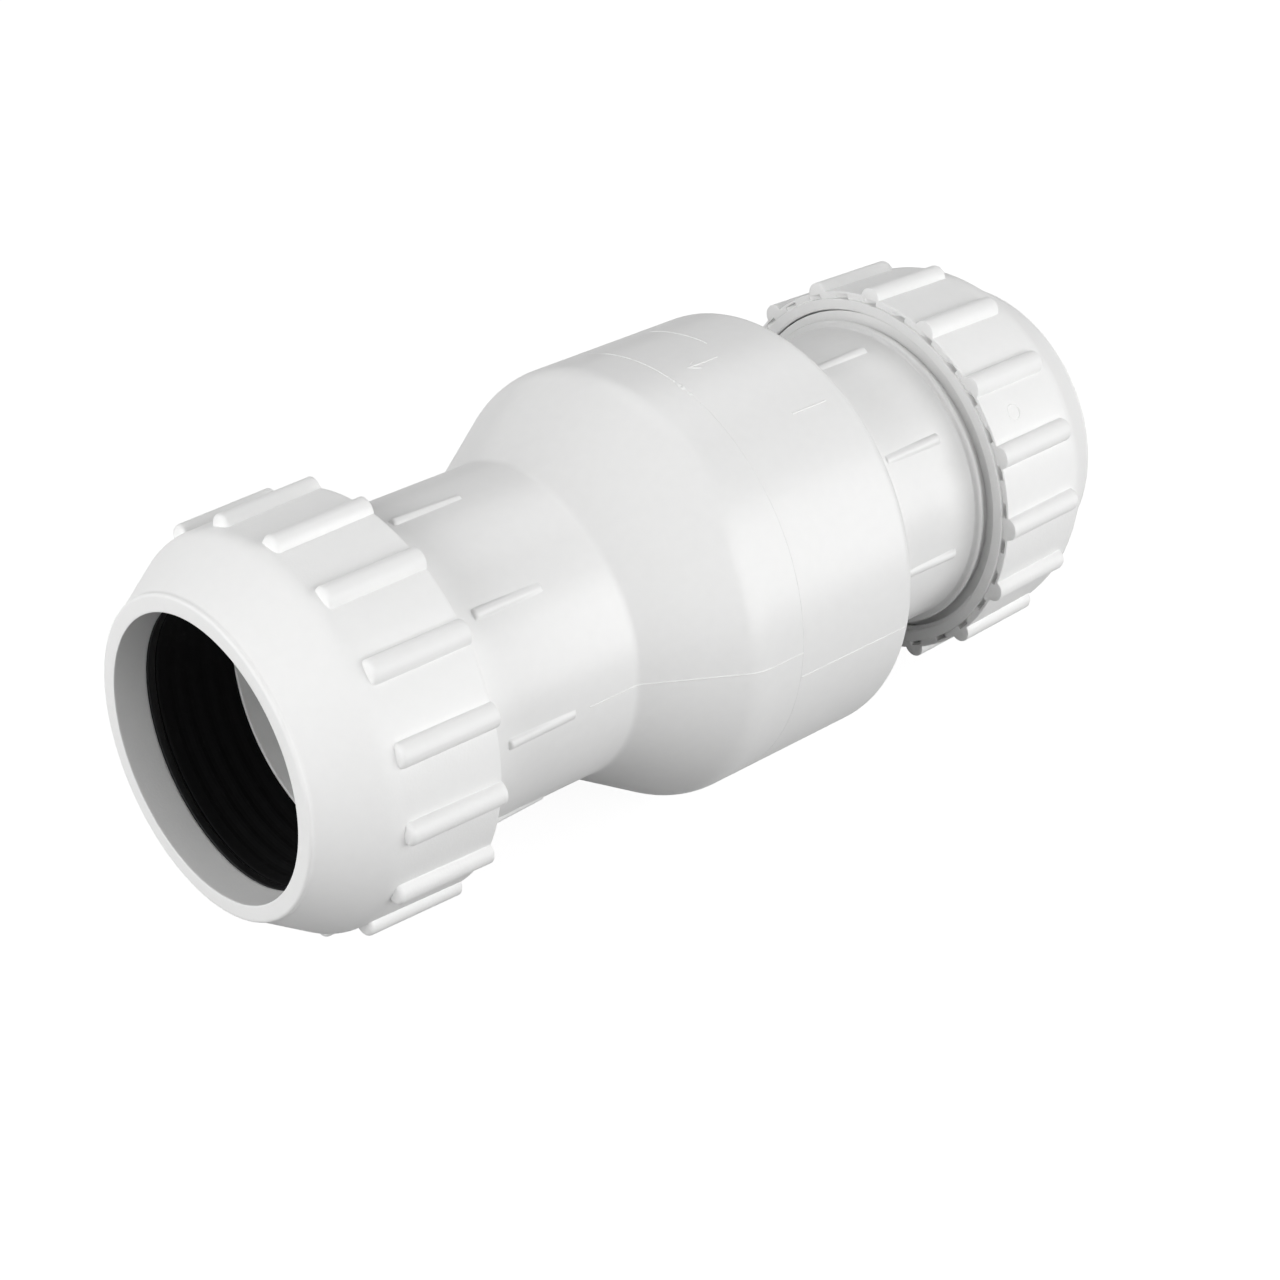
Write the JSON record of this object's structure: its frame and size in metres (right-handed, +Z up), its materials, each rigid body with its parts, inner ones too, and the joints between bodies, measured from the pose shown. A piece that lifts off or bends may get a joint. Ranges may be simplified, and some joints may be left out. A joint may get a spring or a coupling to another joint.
{
  "type": "swing check valve",
  "caption": "Plastic swing non-return valve: stepped chamber with a top-hung flapper, and ribbed compression nuts for plain pipe at both ends.",
  "frame": {"origin": "on the pipe axis, midway between the outer faces of the two nuts", "axes": "+X along the pipe axis towards the inlet, so the flow runs towards -X; +Z up, with the flapper's hinge at the top"},
  "size_m": [0.183, 0.0786, 0.0786],
  "materials": {
    "housing_plastic": "moulded white PVC, satin",
    "nut_plastic": "moulded white PVC, fine matt grain",
    "slip_ring_plastic": "smooth black plastic",
    "seal_rubber": "matt black rubber",
    "stainless_steel": "plain stainless steel"
  },
  "bodies": {
    "valve_body": {"outlet_housing": "housing_plastic", "inlet_housing": "housing_plastic", "seat_carrier": "housing_plastic", "carrier_seal": "seal_rubber", "hinge_pin": "stainless_steel", "hinge_pin_clip": "stainless_steel", "outlet_gasket": "seal_rubber", "inlet_gasket": "seal_rubber"},
    "flapper": {"flapper_plate": "housing_plastic", "flapper_facing": "seal_rubber", "facing_retainer": "stainless_steel", "retainer_screw": "stainless_steel", "retainer_washer": "stainless_steel", "retainer_nut": "stainless_steel"},
    "outlet_ring": {"outlet_slip_ring": "slip_ring_plastic"},
    "outlet_nut": {"outlet_nut": "nut_plastic"},
    "inlet_ring": {"inlet_slip_ring": "slip_ring_plastic"},
    "inlet_nut": {"inlet_nut": "nut_plastic"}
  },
  "joints": [
    {"name": "flapper_hinge", "type": "hinge", "parent": "valve_body", "child": "flapper", "pos_m": [0.01869, 0, 0.02664], "axis": [0, 1, 0], "range_deg": [0, 62]},
    {"name": "outlet_ring_slide", "type": "slide", "parent": "valve_body", "child": "outlet_ring", "axis": [-1, 0, 0], "range_m": [0, 0.0221]},
    {"name": "outlet_nut_turn", "type": "hinge", "parent": "outlet_ring", "child": "outlet_nut", "pos_m": [-0.075, 0, 0], "axis": [-1, 0, 0], "range_deg": [0, 1980]},
    {"name": "inlet_ring_slide", "type": "slide", "parent": "valve_body", "child": "inlet_ring", "axis": [1, 0, 0], "range_m": [0, 0.0221]},
    {"name": "inlet_nut_turn", "type": "hinge", "parent": "inlet_ring", "child": "inlet_nut", "pos_m": [0.075, 0, 0], "axis": [1, 0, 0], "range_deg": [0, 1980]}
  ],
  "couplings": [
    {"joint": "outlet_ring_slide", "follows": "outlet_nut_turn", "m_per_rad": 0.00063662},
    {"joint": "inlet_ring_slide", "follows": "inlet_nut_turn", "m_per_rad": 0.00063662}
  ]
}
